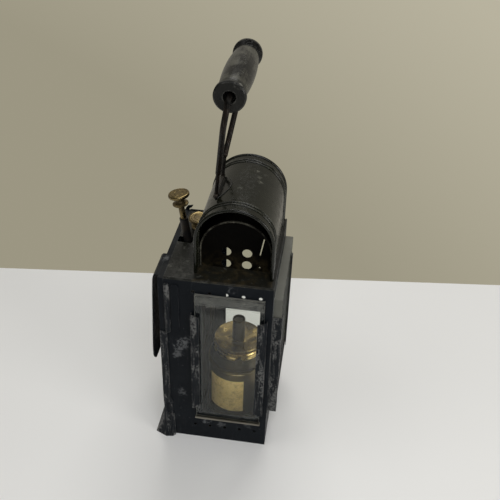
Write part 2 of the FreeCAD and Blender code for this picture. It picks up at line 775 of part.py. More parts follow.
def foot_skirt():
    """The flared foot under the signal casing, open towards the body, with a rib down its front."""
    left = -size("body_width") / 2
    half = size("body_depth") / 2
    top = size("casing_low")
    sheet = 0.9
    inner_x = left + 5.4
    # the front outline under the casing and at the floor, from the body round to the left side
    high_outline = [(inner_x, half + 0.9), (left + 3.0, half + 0.9), (left - 3.0, half + 0.9),
                    (left - 5.2, half + 0.7), (left - 6.1, half - 0.6)]
    low_outline = [(inner_x + 1.0, half + 1.8), (left + 3.6, half + 4.6), (left - 3.0, half + 5.8),
                   (left - 6.4, half + 4.3), (left - 15.2, half + 0.3)]
    levels = ((1.0, 0.0), (0.62, 0.08), (0.3, 0.45), (0.0, 1.0))

    def ring(share, flare, inset):
        front = [vector(xa + (xb - xa) * flare + inset, -(ya + (yb - ya) * flare - inset), top * share)
                 for (xa, ya), (xb, yb) in zip(high_outline, low_outline)]
        rear = [vector(point.x, -point.y, point.z) for point in reversed(front)]
        return Part.makePolygon(front + rear + front[:1])

    def flared(inset):
        return Part.makeLoft([ring(share, flare, inset) for share, flare in levels], True, True)

    body = Part.makeBox(size("body_width"), 2 * half, 2 * top, vector(left, -half, -top / 2))
    casing_thick = size("casing_thick")
    casing = Part.makeBox(casing_thick, 2 * half, top, vector(left - casing_thick, -half, top))
    skirt = flared(0.0).cut(flared(sheet).fuse([body, casing]))
    rib = bent_wire([vector(left + 2.6, -half - 0.4, top), vector(left + 2.6, -half - 0.9, 0.45 * top),
                     vector(left + 1.0, -half - 4.6, 0.6)], [20], 1.3)
    above_floor = Part.makeBox(4 * top, 6 * half, top, vector(left - 2 * top, -3 * half, 0))
    skirt = skirt.fuse(rib).common(above_floor).cut(body)
    keep("foot_skirt", solid(max(skirt.Solids, key=lambda piece: piece.Volume)))


def corner_fittings():
    """The folded guide, tab and lower strip on the front left corner, and the rear catch."""
    face = -size("body_depth") / 2
    left = -size("body_width") / 2
    guide_radius = 2.7
    guide_low = 144.7
    guide_high = 198.3
    guide_x = left + guide_radius
    guide = Part.makeCylinder(guide_radius, guide_high - guide_low, vector(guide_x, face, guide_low),
                              vector(0, 0, 1))
    caps = [Part.makeSphere(guide_radius, vector(guide_x, face, z)) for z in (guide_low, guide_high)]
    front_half = Part.makeBox(20, 10, 80, vector(left - 5, face - 10, guide_low - 10))
    keep("corner_guide", solid(guide.fuse(caps).removeSplitter().common(front_half)))
    tab = outline_prism([(left + 6.8, 147), (left + 13.9, 147), (left + 13.9, 197), (left + 12.6, 199.6),
                         (left + 10.4, 200.4), (left + 8.1, 199.6), (left + 6.8, 197)], "y", face - 0.9, face)
    keep("corner_tab", solid(tab))
    strip = outline_prism([(left - 5.2, 47), (left + 4.6, 47), (left + 2.0, 55), (left + 1.8, 142),
                           (left - 5.2, 143)], "y", face - 1.2, face)
    rib_low = size("casing_low") + 0.4
    ribs = [Part.makeCylinder(1.1, 47 - rib_low, vector(left + x, face, rib_low), vector(0, 0, 1))
            for x in (-3.2, 2.6)]
    before_face = Part.makeBox(30, 10, 40, vector(left - 12, face - 10, 25))
    keep("corner_strip", together(solid(strip), *(solid(rib.common(before_face)) for rib in ribs)))
    catch = outline_prism([(left - 5.2, 193), (left - 2.6, 193), (left - 2.2, 203), (left - 0.4, 207.4),
                           (left + 1.6, 208.6), (left + 3.2, 211.4), (left + 0.6, 210.8), (left - 2.4, 210.2),
                           (left - 4.6, 207.0), (left - 5.2, 203)], "y", -face, -face + 1.2)
    keep("rear_catch", solid(catch))


def rivets():
    """Small round rivet heads on the front panel and round the lens casing."""
    face = -size("body_depth") / 2
    outer = -size("body_width") / 2 - size("casing_thick")
    heads = []
    for x, z in ((-38.5, 71.0), (-35.5, 71.0), (-38.0, 58.5), (-35.0, 51.5), (-38.0, 40.0), (44.0, 24.0)):
        before_face = Part.makeBox(4, 4, 4, vector(x - 2, face - 4, z - 2))
        heads.append(solid(Part.makeSphere(1.2, vector(x, face + 0.4, z)).common(before_face)))
    for y in (-40.0, 40.0):
        for z in (72.0, 152.0):
            beside_casing = Part.makeBox(4, 4, 4, vector(outer - 4, y - 2, z - 2))
            heads.append(solid(Part.makeSphere(1.6, vector(outer + 0.6, y, z)).common(beside_casing)))
    keep("rivets", together(*heads))


# ---------------------------------------------------------------- burner

def oil_reservoir():
    """The round oil tank with a rolled top edge, in its seat, with a blank plate on its front."""
    centre = vector(size("hood_x"), 0, 0)
    radius = size("drum_radius")
    floor = size("metal")
    top = size("drum_top")
    wall = 0.9
    neck = 7.2
    keep("reservoir", solid(revolved(
        [(0, floor), (radius - 1.2, floor), (radius, floor + 1.2), (radius, top - 4.6),
         (radius + 0.7, top - 4.0), (radius + 0.7, top - 2.6), (radius, top - 2.0), (radius + 0.4, top - 1.0),
         (radius, top), (neck, top), (neck, top - wall), (radius - wall, top - wall),
         (radius - wall, floor + 2 * wall), (0, floor + 2 * wall)], centre)))
    keep("reservoir_seat", solid(revolved(
        [(radius + 0.3, floor), (radius + 2.4, floor), (radius + 1.4, floor + 6), (radius + 0.3, floor + 6)],
        centre)))
    band = revolved([(radius, 14), (radius + 0.25, 14), (radius + 0.25, 58), (radius, 58)], vector(0, 0, 0))
    band = band.common(outline_prism([(0, 0), (-46, -34), (-20, -60), (22, -60)], "z", 10, 62))
    band.translate(centre)
    keep("reservoir_plate", solid(band))


def burner_head():
    """The burner that screws on the tank: collar, ring, polished dish and wick tube."""
    centre = vector(size("hood_x"), 0, 0)
    top = size("drum_top")
    collar = size("collar_top")
    ring = size("ring_radius")
    ring_top = size("ring_top")
    dish = size("dish_radius")
    dish_top = size("dish_top")
    outer = size("tube_outer")
    inner = size("tube_inner")
    spindle = spindle_centre()
    keep("burner_collar", solid(revolved(
        [(27.6, top), (28.4, top), (29.2, top + 1.0), (29.2, top + 3.4), (27.0, top + 9.6), (26.0, collar),
         (outer, collar), (outer, collar - 1), (25.3, collar - 1), (26.2, top + 9.2), (28.3, top + 3.2),
         (28.2, top + 1.4), (27.6, top + 0.8)], centre)))
    band = revolved(
        [(ring - 1.4, collar), (ring, collar), (ring + 0.6, collar + 1.2), (ring, collar + 2.4),
         (ring - 0.5, collar + 4.0), (ring, collar + 5.6), (ring + 0.6, ring_top - 1.0), (ring, ring_top),
         (ring - 1.4, ring_top)], centre)
    keep("burner_ring", solid(band.cut(Part.makeCylinder(2.0, 40, spindle, vector(0, -1, 0)))))
    keep("burner_dish", solid(revolved(
        [(outer, dish_top - 2.2), (dish - 3, ring_top + 1.0), (dish - 3, ring_top), (dish, ring_top),
         (dish + 0.6, dish_top - 1.0), (dish, dish_top), (dish - 1.6, dish_top - 0.4),
         (outer + 4, dish_top - 1.2), (outer, dish_top - 0.9)], centre)))
    tube_top = size("tube_top")
    pipe = revolved([(inner, 30), (outer, 30), (outer, tube_top - 0.8), (outer - 0.3, tube_top),
                     (inner, tube_top)], centre)
    window = Part.makeBox(6.0, 7.2, 5.6, spindle + vector(-2.5, -3.6, -2.8))
    passage = Part.makeCylinder(1.6, 16, spindle + vector(0, 8, 0), vector(0, -1, 0))
    keep("wick_tube", solid(pipe.cut(window).cut(passage)))


def spindle_centre():
    """The toothed wheel's centre, beside the wick."""
    return vector(size("hood_x") + size("spindle_offset"), 0, size("spindle_z"))


def wick_and_spindle():
    """The round wick and the toothed spindle beside it that winds it up."""
    centre = vector(size("hood_x"), 0, 0)
    spindle = spindle_centre()
    wheel = size("wheel_radius")
    low = 24.0
    wick = Part.makeCylinder(size("tube_inner") - 0.25, size("tube_top") - 3.0 - low,
                             centre + vector(0, 0, low), vector(0, 0, 1))
    # the wick is flattened where the wheel grips it, over the whole travel
    flat = Part.makeBox(8, 16, 6 + size("wick_travel"),
                        spindle + vector(-wheel - 0.1, -8, -3 - size("wick_travel")))
    keep("wick", solid(wick.cut(flat)))

    shaft = Part.makeCylinder(1.0, 36, spindle + vector(0, 4, 0), vector(0, -1, 0))
    teeth = Part.makeCylinder(wheel, 5.2, spindle + vector(0, 2.6, 0), vector(0, -1, 0))
    keep("wick_spindle", solid(shaft.fuse(teeth).removeSplitter()))
    knob = Part.makeCylinder(4.2, 2.4, spindle + vector(0, -29.4, 0), vector(0, -1, 0))
    knob = knob.cut(Part.makeCylinder(1.0, 8, spindle + vector(0, -27, 0), vector(0, -1, 0)))
    grooves = 18
    for groove in range(grooves):
        angle = 2 * math.pi * groove / grooves
        at = spindle + vector(4.3 * math.cos(angle), -28.5, 4.3 * math.sin(angle))
        knob = knob.cut(Part.makeCylinder(0.35, 4, at, vector(0, -1, 0)))
    keep("wick_knob", solid(knob))


def make_all():
    casing_shell()
    base_tray()
    roof_plate()
    hood_shell()
    hood_rims()
    flue_cap()
    bail_patch()
    hinge_sleeve()
    hinge_pin()
    bail_links(bail_wire())
    bail_grip()
    pane_and_channels("front", -1)
    pane_and_channels("rear", 1)
    side_glass()
    partition()
    slide_guides()
    colour_slide("red", size("red_x"), size("red_rod_y"), size("slide_travel"), size("rod_lean"),
                 size("rod_tip"), size("red_tube_long"))
    colour_slide("green", size("green_x"), size("green_rod_y"), 0.0, 0.0, size("green_rod_tip"),
                 size("green_tube_long"))
    signal_casing()
    signal_lens()
    belt_hook()
    foot_skirt()
    corner_fittings()
    rivets()
    oil_reservoir()
    burner_head()
    wick_and_spindle()


make_all()
doc.recompute()

# ---------------------------------------------------------------- checks and files

def check_and_write():
    """Stop on any failed object or bad shape, then write one STEP file for each sub-part."""
    for item in doc.Objects:
        if "Invalid" in item.State or "Error" in item.State:
            raise RuntimeError(f"{item.Label} failed: {item.State}")
    for piece in pieces:
        shape = piece.Shape
        if shape.isNull() or not shape.isValid() or not shape.Solids:
            raise RuntimeError(f"{piece.Label} has a bad shape")
    os.makedirs("parts", exist_ok=True)
    for piece in pieces:
        piece.Shape.exportStep(f"parts/{piece.Label}.step")
        print(f"{piece.Label}: {len(piece.Shape.Solids)} solids, {piece.Shape.Volume:.0f} mm3")
    print(len(pieces), "sub-parts")


check_and_write()
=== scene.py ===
import math
import random

import bpy
import bmesh
from mathutils import Matrix, Vector


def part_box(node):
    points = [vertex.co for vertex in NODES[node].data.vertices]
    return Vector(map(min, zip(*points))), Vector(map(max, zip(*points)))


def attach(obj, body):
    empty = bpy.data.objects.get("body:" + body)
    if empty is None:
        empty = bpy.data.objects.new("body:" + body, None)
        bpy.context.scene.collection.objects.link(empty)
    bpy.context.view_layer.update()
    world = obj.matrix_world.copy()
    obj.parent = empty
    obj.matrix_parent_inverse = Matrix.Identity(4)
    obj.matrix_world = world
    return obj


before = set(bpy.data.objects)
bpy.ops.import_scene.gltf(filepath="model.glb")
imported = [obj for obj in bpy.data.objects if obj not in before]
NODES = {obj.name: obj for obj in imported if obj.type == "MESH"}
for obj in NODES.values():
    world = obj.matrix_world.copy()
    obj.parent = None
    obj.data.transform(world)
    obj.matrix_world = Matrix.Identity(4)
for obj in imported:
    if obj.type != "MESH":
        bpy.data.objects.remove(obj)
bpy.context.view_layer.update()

MM = 0.001

# ---------------------------------------------------------------- sizes and colours

DUST_COLOUR = (0.20, 0.19, 0.15)
RUST = ((0.010, 0.0085, 0.005), (0.034, 0.026, 0.013))  # the dark and the light tone
PANE_GRIME = 13.0  # mm of dirty glass at the head of a pane
PANE_GLARE = 0.09  # share of a clean pane's reflection that is kept
SWAGE_INSET = 10.0  # mm from the hood's end to its first swage
SWAGE_GAP = 4.0
SWAGE_HEIGHT = 0.88
SEAMS = (("hood_shell", 0.9, 0.85), ("flue_cap", 0.7, -0.2))  # node, bead radius, inset from its side, in mm
CEILING = (0, 0, 0.1)  # where the lights over the object aim
X, Y, Z = range(3)
# sockets of a Mix node set to colour
MIX_FIRST, MIX_SECOND, MIX_RESULT = 6, 7, 2


# ---------------------------------------------------------------- camera, floor and light

CAMERA_PLACE = Vector((0.0850, -0.5399, 0.5877))
CAMERA_YAW = math.radians(6.83)
CAMERA_PITCH = math.radians(-35.16)
CAMERA_ROLL = math.radians(-2.14)
CAMERA_LENS = 50.38
SENSOR_WIDTH = 36.0
CLIP_START = 0.02

FLOOR_SIDE = 1.6
FLOOR_FRONT = -1.2
FLOOR_BACK_RIGHT = 0.425
FLOOR_BACK_LEFT = 0.027

WALL_HIGH = (0.480, 0.448, 0.345)
WALL_LOW = (0.33, 0.305, 0.225)
WALL_SLANT = 0.6  # how much the wall's shade changes sideways, against upwards
WALL_SHADE = (-0.55, -0.15)  # where the low colour ends and the high one starts
WALL_GLOW = (0.36, 0.34, 0.29)
ROOM_COLOUR = (0.085, 0.085, 0.085)
ROOM_TO_WALL = (-0.2, 0.7)  # where the room's light ends and the wall's glow starts, from front to back
# name, place, aim, width, height, power, colour
LIGHTS = (
    ("ceiling_back", (0.05, 0.95, 1.70), CEILING, 1.1, 0.8, 12.0, (1.0, 0.99, 0.96)),
    ("ceiling_left", (-0.85, -0.35, 1.60), CEILING, 0.9, 0.9, 4.0, (1.0, 0.99, 0.97)),
    ("front_fill", (0.4, -1.4, 1.7), (0, 0, 0.05), 1.4, 1.0, 18.5, (0.97, 0.98, 1.0)),
    ("right_fill", (1.3, -0.7, 0.62), (0, 0, 0.12), 0.7, 0.5, 8.0, (1.0, 0.98, 0.95)),
)


def link(thing):
    bpy.context.scene.collection.objects.link(thing)


def make_camera():
    data = bpy.data.cameras.new("camera")
    data.lens = CAMERA_LENS
    data.sensor_width = SENSOR_WIDTH
    data.clip_start = CLIP_START
    camera = bpy.data.objects.new("camera", data)
    link(camera)
    turn = (Matrix.Rotation(CAMERA_YAW, 3, "Z") @ Matrix.Rotation(CAMERA_PITCH, 3, "X")
            @ Matrix.Rotation(CAMERA_ROLL, 3, "Y"))
    right, forward, up = (turn.col[index] for index in range(3))
    facing = Matrix((right, up, -forward)).transposed()
    camera.matrix_world = Matrix.Translation(CAMERA_PLACE) @ facing.to_4x4()
    bpy.context.scene.camera = camera


def make_floor(material):
    """A pale table top; its far edge shows where the table meets the wall."""
    corners = [(-FLOOR_SIDE, FLOOR_FRONT, 0.0), (FLOOR_SIDE, FLOOR_FRONT, 0.0),
               (FLOOR_SIDE, FLOOR_BACK_RIGHT, 0.0), (-FLOOR_SIDE, FLOOR_BACK_LEFT, 0.0)]
    mesh = bpy.data.meshes.new("floor")
    mesh.from_pydata(corners, [], [(0, 1, 2, 3)])
    mesh.materials.append(material)
    floor = bpy.data.objects.new("floor", mesh)
    link(floor)


def area_light(name, place, aim, width, height, power, colour):
    data = bpy.data.lights.new(name, "AREA")
    data.shape = "RECTANGLE"
    data.size = width
    data.size_y = height
    data.energy = power
    data.color = colour
    lamp = bpy.data.objects.new(name, data)
    lamp.location = place
    lamp.rotation_euler = (Vector(aim) - Vector(place)).to_track_quat("-Z", "Y").to_euler()
    link(lamp)


# ---------------------------------------------------------------- node steps

class Steps:
    """Short steps that add nodes to a tree; each gives back an output socket."""

    def __init__(self, tree):
        self.tree = tree

    def add(self, kind, **settings):
        node = self.tree.nodes.new(kind)
        for word, value in settings.items():
            setattr(node, word, value)
        return node

    def feed(self, socket, value):
        if isinstance(value, bpy.types.NodeSocket):
            self.tree.links.new(value, socket)
        elif isinstance(value, (tuple, list)) and len(value) == 3 and socket.type == "RGBA":
            socket.default_value = (*value, 1.0)
        else:
            socket.default_value = value

    def spread(self, value, low, high, to_low=0.0, to_high=1.0, ease="SMOOTHSTEP"):
        """The value's range from low to high, mapped to another range and held at its ends."""
        node = self.add("ShaderNodeMapRange", clamp=True, interpolation_type=ease)
        self.feed(node.inputs["Value"], value)
        node.inputs["From Min"].default_value = low
        node.inputs["From Max"].default_value = high
        node.inputs["To Min"].default_value = to_low
        node.inputs["To Max"].default_value = to_high
        return node.outputs["Result"]

    def sum(self, kind, first, second=0.0, clamp=False):
        node = self.add("ShaderNodeMath", operation=kind, use_clamp=clamp)
        self.feed(node.inputs[0], first)
        self.feed(node.inputs[1], second)
        return node.outputs[0]

    def times(self, first, second):
        return self.sum("MULTIPLY", first, second)

    def blend(self, amount, first, second):
        node = self.add("ShaderNodeMix", data_type="RGBA")
        self.feed(node.inputs[0], amount)
        self.feed(node.inputs[MIX_FIRST], first)
        self.feed(node.inputs[MIX_SECOND], second)
        return node.outputs[MIX_RESULT]

    def part(self, vector, axis):
        node = self.add("ShaderNodeSeparateXYZ")
        self.feed(node.inputs[0], vector)
        return node.outputs[axis]


def make_world():
    """A pale wall all round for the eye; as light, it glows behind the object and is dim in front."""
    world = bpy.data.worlds.new("studio")
    bpy.context.scene.world = world
    world.use_nodes = True
    sky = Steps(world.node_tree)
    toward = sky.add("ShaderNodeTexCoord").outputs["Generated"]
    behind = sky.spread(sky.part(toward, Y), *ROOM_TO_WALL, ease="LINEAR")
    room = sky.blend(behind, ROOM_COLOUR, WALL_GLOW)
    height = sky.sum("ADD", sky.times(sky.part(toward, X), WALL_SLANT), sky.part(toward, Z))
    wall = sky.blend(sky.spread(height, *WALL_SHADE, ease="LINEAR"), WALL_LOW, WALL_HIGH)
    eye = sky.add("ShaderNodeLightPath").outputs["Is Camera Ray"]
    sky.feed(world.node_tree.nodes["Background"].inputs["Color"], sky.blend(eye, room, wall))


def make_light():
    make_world()
    for light in LIGHTS:
        area_light(*light)
    scene = bpy.context.scene
    scene.view_settings.view_transform = "Standard"
    scene.view_settings.look = "None"


class Recipe(Steps):
    """A node material, put together in short steps."""

    def __init__(self, name):
        self.material = bpy.data.materials.new(name)
        self.material.use_nodes = True
        super().__init__(self.material.node_tree)
        self.tree.nodes.clear()
        self.output = self.add("ShaderNodeOutputMaterial")
        self.place = self.add("ShaderNodeTexCoord").outputs["Object"]

    def stretch(self, x, y, z):
        node = self.add("ShaderNodeMapping")
        self.feed(node.inputs["Vector"], self.place)
        node.inputs["Scale"].default_value = (x, y, z)
        return node.outputs["Vector"]

    def noise(self, scale, detail=4.0, rough=0.55, distort=0.0, vector=None):
        node = self.add("ShaderNodeTexNoise")
        self.feed(node.inputs["Vector"], vector or self.place)
        node.inputs["Scale"].default_value = scale
        node.inputs["Detail"].default_value = detail
        node.inputs["Roughness"].default_value = rough
        node.inputs["Distortion"].default_value = distort
        return node.outputs["Fac"]

    def drawn_noise(self, x, y, z, detail, rough, distort=0.0):
        """Noise with its own scale along each axis."""
        return self.noise(1.0, detail, rough, distort, vector=self.stretch(x, y, z))

    def near(self, place, radius, soft=0.35):
        """1 round a place given in mm, down to 0 at about radius mm, with a ragged outline."""
        gap = self.add("ShaderNodeVectorMath", operation="DISTANCE")
        self.feed(gap.inputs[0], self.place)
        gap.inputs[1].default_value = [value * MM for value in place]
        raggedness = 3.2 * radius * MM
        ragged = self.times(self.sum("SUBTRACT", self.noise(scale=130, detail=4, rough=0.6), 0.5), raggedness)
        reach = self.sum("ADD", gap.outputs["Value"], ragged)
        return self.spread(reach, radius * soft * MM, radius * MM, 1.0, 0.0)

    def band(self, axis, low, high, soft=0.6):
        """1 between two places on an axis in mm, 0 outside."""
        along = self.part(self.place, axis)
        rise = self.spread(along, (low - soft) * MM, (low + soft) * MM)
        fall = self.spread(along, (high - soft) * MM, (high + soft) * MM, 1.0, 0.0)
        return self.times(rise, fall)

    def bands(self, axis, places, half):
        """1 within half a width of any of the places on an axis, in mm."""
        total = 0.0
        for place in places:
            total = self.sum("MAXIMUM", self.band(axis, place - half, place + half, soft=0.35), total)
        return total

    def normal(self):
        return self.add("ShaderNodeNewGeometry").outputs["Normal"]

    def edges(self, radius, low=0.02, high=0.25):
        """Bright on sharp edges: where a bevelled normal leaves the true one."""
        bevel = self.add("ShaderNodeBevel", samples=4)
        bevel.inputs["Radius"].default_value = radius
        dot = self.add("ShaderNodeVectorMath", operation="DOT_PRODUCT")
        self.feed(dot.inputs[0], bevel.outputs["Normal"])
        self.feed(dot.inputs[1], self.normal())
        return self.spread(self.sum("SUBTRACT", 1.0, dot.outputs["Value"]), low, high)

    def bump(self, height, strength, distance):
        node = self.add("ShaderNodeBump")
        node.inputs["Strength"].default_value = strength
        node.inputs["Distance"].default_value = distance
        self.feed(node.inputs["Height"], height)
        return node.outputs["Normal"]

    def mix_shaders(self, amount, first, second):
        node = self.add("ShaderNodeMixShader")
        for socket, value in zip(node.inputs, (amount, first, second)):
            self.feed(socket, value)
        return node.outputs[0]

    def surface(self, **inputs):
        node = self.add("ShaderNodeBsdfPrincipled")
        for word, value in inputs.items():
            self.feed(node.inputs[word.replace("_", " ")], value)
        self.tree.links.new(node.outputs[0], self.output.inputs["Surface"])
        return self.material


# ---------------------------------------------------------------- materials

def scaled(colour, factor):
    return tuple(min(1.0, factor * value) for value in colour)


def worn_paint(name, base, tint, metal, wear=0.5, edge_wear_and_highlight=0.8, gloss=0.35, dust=0.2, streak=0.3,
               shine=0.2, scuffs=(), rust=None, tones=RUST, relief=0.25, drawn=1.0):
    """Old stoved black paint over sheet metal: mottled, chipped at edges, rubbed and dusty; the light edges
    are partly a painted highlight.
    scuffs are (place in mm, radius in mm, strength); rust makes a mask from the recipe, for the two
    tones, which are rust on some parts and a painted highlight on others; relief is the strength of the bump;
    drawn below 1 pulls the chips out along z."""
    mix = Recipe(name)
    broad = mix.noise(scale=22, detail=5, rough=0.6)
    fine = mix.noise(scale=260, detail=6, rough=0.65)
    colour = mix.blend(mix.spread(broad, 0.35, 0.7), base, tint)
    colour = mix.blend(mix.spread(fine, 0.45, 0.75, 0.0, 0.35), colour, tint)
    # the rust mask lays two tones over the paint: rust on some parts, a painted highlight on the hood's swage
    # crests and on the flue cap's front rim
    if rust:
        brown = mix.spread(mix.noise(scale=120, detail=7, rough=0.7, distort=0.5), 0.4, 0.65)
        stain_and_highlight_patches = mix.spread(mix.noise(scale=45, detail=8, rough=0.7, distort=0.8), 0.42, 0.60)
        colour = mix.blend(mix.times(rust(mix), stain_and_highlight_patches), colour, mix.blend(brown, *tones))
    bare = bare_metal(mix, wear, edge_wear_and_highlight, streak, scuffs, drawn)
    bare_colour = mix.blend(mix.noise(scale=120), metal, scaled(metal, 0.55))
    colour = mix.blend(bare, colour, bare_colour)
    upward = mix.spread(mix.part(mix.normal(), Z), 0.2, 0.95)
    patchy = mix.spread(mix.noise(scale=70, detail=7, rough=0.7), 0.3, 0.75, 0.25, 1.0)
    colour = mix.blend(mix.times(mix.times(upward, patchy), dust), colour, DUST_COLOUR)
    rough = mix.sum("ADD", gloss, mix.spread(fine, 0.3, 0.8, -0.08, 0.20))
    rough = mix.sum("ADD", rough, mix.times(bare, 0.12), clamp=True)
    height = mix.sum("ADD", mix.times(fine, 0.5), mix.times(broad, 1.4))
    height = mix.sum("SUBTRACT", height, mix.times(bare, 0.8))
    return mix.surface(Base_Color=colour, Roughness=rough, Metallic=mix.times(bare, 0.35),
                       Specular_IOR_Level=shine, Normal=mix.bump(height, relief, 0.5 * MM))


def bare_metal(mix, wear, edge_wear_and_highlight, streak, scuffs, drawn):
    """Where paint is gone: in patches, along edges, in streaks down the walls and at the scuffs; along edges
    it is partly a painted highlight.
    """
    runs = mix.drawn_noise(420, 420, 34, detail=6, rough=0.65, distort=0.3)
    streaks = mix.spread(runs, 0.56 - 0.10 * streak, 0.66, 0.0, min(1.0, 1.3 * streak))
    patches = mix.noise(scale=85, detail=9, rough=0.75, distort=0.3, vector=mix.stretch(1, 1, drawn))
    patches = mix.spread(patches, 0.66 - 0.16 * wear, 0.70 - 0.16 * wear)
    rubbed = mix.spread(mix.noise(scale=420, detail=6, rough=0.75), 0.42, 0.54, 0.10, 1.0)
    chips = mix.times(mix.times(patches, rubbed), wear)
    broken = mix.spread(mix.noise(scale=110, detail=7, rough=0.7), 0.42, 0.60, 0.06, 1.0)
    # light metal along the edges: partly chipped paint, partly a painted highlight on the edges
    rim = mix.times(mix.edges(0.8 * MM), broken)
    bare = mix.sum("MAXIMUM", chips, mix.times(rim, edge_wear_and_highlight), clamp=True)
    bare = mix.sum("MAXIMUM", bare, mix.times(streaks, rubbed), clamp=True)
    scrape = mix.spread(mix.noise(scale=150, detail=9, rough=0.75, distort=1.2), 0.44, 0.54)
    for place, radius, strength in scuffs:
        spot = mix.times(mix.near(place, radius), scrape)
        bare = mix.sum("MAXIMUM", bare, mix.times(spot, strength), clamp=True)
    return bare


def aged_brass(name, base, dark, rough, tarnish, scale, metallic=1.0):
    """Handled brass with brown tarnish in patches, darker, rougher and less metallic on the faces that point
    down, and fine scratches.
    """
    mix = Recipe(name)
    cloud = mix.spread(mix.noise(scale, detail=7, rough=0.65, distort=0.4), 0.42, 0.68)
    specks = mix.spread(mix.noise(scale * 7, detail=5, rough=0.7), 0.56, 0.72)
    amount = mix.sum("MAXIMUM", mix.times(cloud, tarnish), mix.times(specks, 0.5 * tarnish))
    downward = mix.spread(mix.part(mix.normal(), Z), 0.1, -0.6, 0.0, 0.7)
    amount = mix.sum("MAXIMUM", amount, downward, clamp=True)
    rubbed = mix.times(mix.edges(0.4 * MM, low=0.05, high=0.3), 0.35)
    colour = mix.blend(rubbed, mix.blend(amount, base, dark), scaled(base, 1.5))
    scratch = mix.drawn_noise(150, 150, 900, detail=4, rough=0.7)
    rough_now = mix.sum("ADD", rough, mix.times(amount, 0.3))
    rough_now = mix.sum("ADD", rough_now, mix.spread(scratch, 0.4, 0.7, -0.05, 0.08), clamp=True)
    return mix.surface(Base_Color=colour, Roughness=rough_now,
                       Metallic=mix.spread(amount, 0.0, 1.0, metallic, 0.6 * metallic),
                       Normal=mix.bump(scratch, 0.02, 0.05 * MM))


def browned_steel(name, base, rust, gloss=0.38):
    """Drawn steel wire gone brown, rubbed brighter along its length."""
    mix = Recipe(name)
    cloud = mix.spread(mix.noise(scale=120, detail=8, rough=0.7, distort=0.3), 0.4, 0.66)
    rub = mix.spread(mix.drawn_noise(700, 700, 60, detail=5, rough=0.6), 0.56, 0.74)
    colour = mix.blend(mix.times(rub, 0.30), mix.blend(cloud, base, rust), (0.16, 0.14, 0.125))
    pits = mix.noise(scale=900, detail=4, rough=0.7)
    return mix.surface(Base_Color=colour, Roughness=mix.spread(pits, 0.3, 0.75, gloss, gloss + 0.25),
                       Metallic=0.75, Specular_IOR_Level=0.3, Normal=mix.bump(pits, 0.3, 0.25 * MM))


def grip_wood():
    """Turned wood under thin black paint, rubbed to grey-brown on the barrel, with dents."""
    mix = Recipe("grip_wood")
    end_low, end_high = box_mm("bail_grip")
    flange = 13
    grain = mix.drawn_noise(520, 26, 520, detail=6, rough=0.6, distort=0.3)
    cloud = mix.noise(scale=34, detail=6, rough=0.65, distort=0.5)
    worn = mix.spread(mix.sum("ADD", mix.times(cloud, 0.75), mix.times(grain, 0.35)), 0.46, 0.62)
    barrel = mix.band(Y, end_low[Y] + flange, end_high[Y] - flange, soft=3.0)
    worn = mix.times(worn, mix.sum("ADD", mix.times(barrel, 0.85), 0.15))
    wood = mix.blend(mix.spread(grain, 0.35, 0.7), (0.085, 0.083, 0.066), (0.040, 0.039, 0.031))
    colour = mix.blend(worn, (0.0030, 0.0032, 0.0032), wood)
    broken = mix.spread(mix.noise(scale=150, detail=5, rough=0.7), 0.42, 0.62)
    rim = mix.times(mix.edges(1.6 * MM, low=0.03, high=0.3), broken)
    colour = mix.blend(mix.times(rim, 0.8), colour, (0.16, 0.155, 0.14))
    knocked = mix.near((end_high[X] - 6, end_low[Y] + 3, end_high[Z] - 2), radius=5)
    flakes = mix.spread(mix.noise(scale=190, detail=6, rough=0.7, distort=1.0), 0.46, 0.56)
    flaked = mix.times(knocked, flakes)
    colour = mix.blend(flaked, colour, (0.12, 0.118, 0.105))
    dents = mix.spread(mix.noise(scale=85, detail=8, rough=0.7, distort=0.8), 0.58, 0.63)
    colour = mix.blend(mix.times(dents, 0.8), colour, (0.006, 0.006, 0.0055))
    height = mix.sum("SUBTRACT", mix.times(grain, 0.4), dents)
    return mix.surface(Base_Color=colour, Roughness=mix.spread(cloud, 0.3, 0.7, 0.20, 0.42),
                       Specular_IOR_Level=0.20, Normal=mix.bump(height, 0.35, 0.5 * MM))


